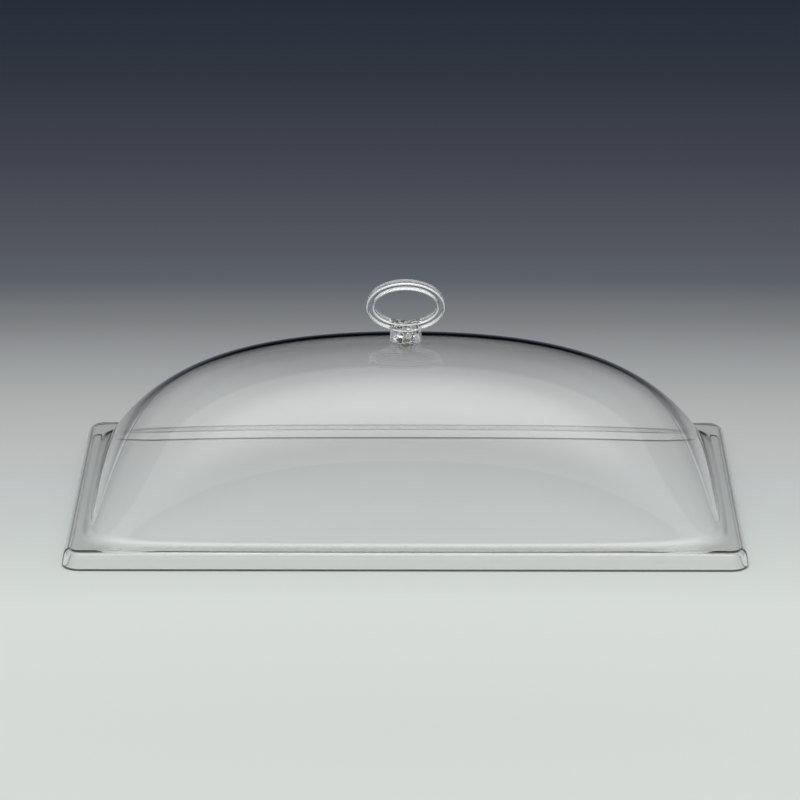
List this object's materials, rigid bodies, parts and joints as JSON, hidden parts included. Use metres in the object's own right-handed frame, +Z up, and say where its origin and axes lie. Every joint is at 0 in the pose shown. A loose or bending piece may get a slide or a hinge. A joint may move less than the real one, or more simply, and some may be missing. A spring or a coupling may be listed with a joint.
{
  "type": "tray cover",
  "caption": "Clear pillow-shaped dome on a flanged rectangular rim, which covers food on a serving tray, with an oval ring handle screwed to its crown.",
  "frame": {"origin": "middle of the rim's footprint, on the surface that the cover stands on", "axes": "+X along the length, +Y towards the back, +Z up through the handle's screw"},
  "size_m": [0.508, 0.305, 0.1765],
  "materials": {
    "clear_polycarbonate": "clear, polished by forming",
    "clear_acrylic": "clear, gloss moulded",
    "soft_clear_vinyl": "soft, translucent",
    "stainless_steel": "bright"
  },
  "bodies": {
    "root": {"dome_cover": "clear_polycarbonate", "ring_handle": "clear_acrylic", "handle_gasket": "soft_clear_vinyl", "seal_washer": "soft_clear_vinyl", "steel_washer": "stainless_steel", "handle_screw": "stainless_steel"}
  },
  "joints": []
}
